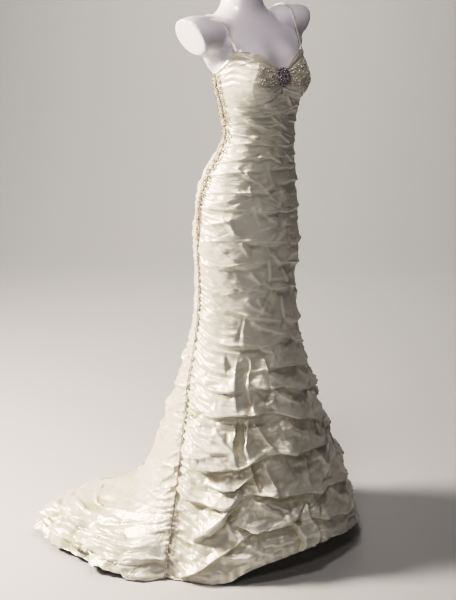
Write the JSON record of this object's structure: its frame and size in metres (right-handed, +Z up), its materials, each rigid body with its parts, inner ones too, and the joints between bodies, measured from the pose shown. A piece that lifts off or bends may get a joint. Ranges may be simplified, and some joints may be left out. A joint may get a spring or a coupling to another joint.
{
  "type": "mermaid wedding dress on a limbless dress form",
  "caption": "Sleeveless mermaid wedding dress, ruched all over between side seams, with thin straps, sweetheart cups, a clasp and a short train, on a smooth dress form on a stand.",
  "frame": {"origin": "centre of the stand base's flat underside, on the floor", "axes": "+Z up along the pole; -Y is the wearer's front, +X the wearer's left; the train lies towards -X and +Y"},
  "size_m": [0.8602, 0.7856, 1.6],
  "materials": {
    "taffeta": "satin",
    "beaded_lace": "beaded",
    "clasp": "crystal set",
    "zip": "satin",
    "form": "gloss",
    "stand": "satin"
  },
  "bodies": {
    "root": {"front_panel": "taffeta", "back_right_panel": "taffeta", "back_left_panel": "taffeta", "cup_right": "taffeta", "cup_left": "taffeta", "strap_right": "taffeta", "strap_left": "taffeta", "side_trim_right": "beaded_lace", "side_trim_left": "beaded_lace", "cup_lace_right": "beaded_lace", "cup_lace_left": "beaded_lace", "brooch": "clasp", "back_zip": "zip", "zip_slider": "zip", "form_torso": "form", "stand_pole": "stand", "stand_base": "stand"},
    "pull": {"zip_pull": "zip"}
  },
  "joints": [
    {"name": "zip_pull_swing", "type": "hinge", "parent": "root", "child": "pull", "pos_m": [0.01, 0.07598, 1.32564], "axis": [1, 0, 0], "range_deg": [0, 150]}
  ]
}
